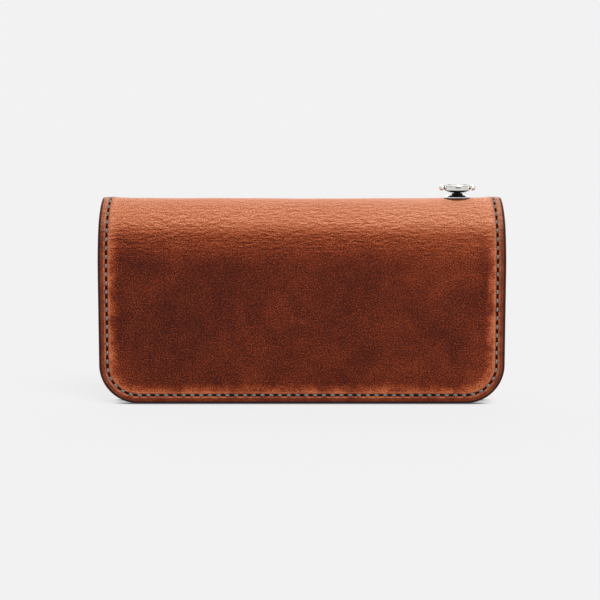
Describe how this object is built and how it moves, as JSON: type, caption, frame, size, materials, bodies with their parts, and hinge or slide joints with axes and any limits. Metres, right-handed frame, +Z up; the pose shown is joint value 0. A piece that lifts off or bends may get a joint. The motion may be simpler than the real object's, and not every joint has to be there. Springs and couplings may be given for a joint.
{
  "type": "zippered pouch",
  "caption": "Folded leather long wallet with a zipped coin pocket, card tiers, a press fastener and a swivel stud on the fold.",
  "frame": {"origin": "centre of the bounding box's bottom, where the two open long edges stand", "axes": "+X along the wallet's length, +Y from the half in view to the far half, +Z up to the fold"},
  "size_m": [0.192, 0.0276, 0.1035],
  "materials": {
    "cover_leather": "oiled pull-up leather, satin",
    "lining_leather": "thin smooth leather, satin",
    "panel_leather": "smooth leather, satin",
    "thread": "waxed thread",
    "zip_tape": "woven tape",
    "zip_metal": "satin",
    "silver": "polished, darkened in the recesses",
    "snap_metal": "satin"
  },
  "bodies": {
    "back_half": {"cover_back": "cover_leather", "lining_back": "lining_leather", "coin_back_wall": "panel_leather", "coin_front_wall": "panel_leather", "zip_tape_upper": "zip_tape", "zip_tape_lower": "zip_tape", "zip_teeth_upper": "zip_metal", "zip_teeth_lower": "zip_metal", "zip_stop_left": "zip_metal", "zip_stop_right": "zip_metal", "snap_stud": "snap_metal", "thread_back": "thread", "thread_zip": "thread"},
    "zip_slider": {"slider_body": "zip_metal", "slider_post": "zip_metal"},
    "zip_pull": {"pull_link": "zip_metal", "pull_tab": "cover_leather", "pull_rivet": "zip_metal"},
    "spine_back": {"cover_spine_back": "cover_leather", "lining_spine_back": "lining_leather", "thread_spine_back": "thread"},
    "spine_crown": {"cover_spine_crown": "cover_leather", "lining_spine_crown": "lining_leather", "thread_spine_crown": "thread", "stud_base": "silver", "stud_screw": "silver", "stud_backing_washer": "silver"},
    "stud_cap": {"stud_head": "silver"},
    "spine_front": {"cover_spine_front": "cover_leather", "lining_spine_front": "lining_leather", "thread_spine_front": "thread"},
    "front_half": {"cover_front": "cover_leather", "lining_front": "lining_leather", "card_base_panel": "panel_leather", "card_tier_rear": "panel_leather", "card_tier_middle": "panel_leather", "card_tier_front": "panel_leather", "thread_front": "thread", "thread_card_divider": "thread", "snap_cap": "snap_metal", "snap_socket": "snap_metal"}
  },
  "joints": [
    {"name": "fold_back_edge", "type": "hinge", "parent": "back_half", "child": "spine_back", "pos_m": [0, -0.01348, 0.08329], "axis": [1, 0, 0], "range_deg": [0, 45]},
    {"name": "fold_crown_back", "type": "hinge", "parent": "spine_back", "child": "spine_crown", "pos_m": [0, -0.00695, 0.09557], "axis": [1, 0, 0], "range_deg": [0, 45]},
    {"name": "fold_crown_front", "type": "hinge", "parent": "spine_crown", "child": "spine_front", "pos_m": [0, 0.00695, 0.09557], "axis": [1, 0, 0], "range_deg": [0, 45]},
    {"name": "fold_front_edge", "type": "hinge", "parent": "spine_front", "child": "front_half", "pos_m": [0, 0.01348, 0.08329], "axis": [1, 0, 0], "range_deg": [0, 45]},
    {"name": "zip_slide", "type": "slide", "parent": "back_half", "child": "zip_slider", "axis": [1, 0, 0], "range_m": [0, 0.138]},
    {"name": "pull_swing", "type": "hinge", "parent": "zip_slider", "child": "zip_pull", "pos_m": [-0.069, -0.00053, 0.07015], "axis": [0, 0.9986, 0.0523], "range_deg": [-75, 75]},
    {"name": "stud_turn", "type": "hinge", "parent": "spine_crown", "child": "stud_cap", "pos_m": [0.0736, 0, 0.1015], "axis": [0, 0, 1], "continuous": true}
  ],
  "couplings": [
    {"joint": "fold_crown_back", "follows": "fold_back_edge", "ratio": 1},
    {"joint": "fold_crown_front", "follows": "fold_back_edge", "ratio": 1},
    {"joint": "fold_front_edge", "follows": "fold_back_edge", "ratio": 1}
  ]
}
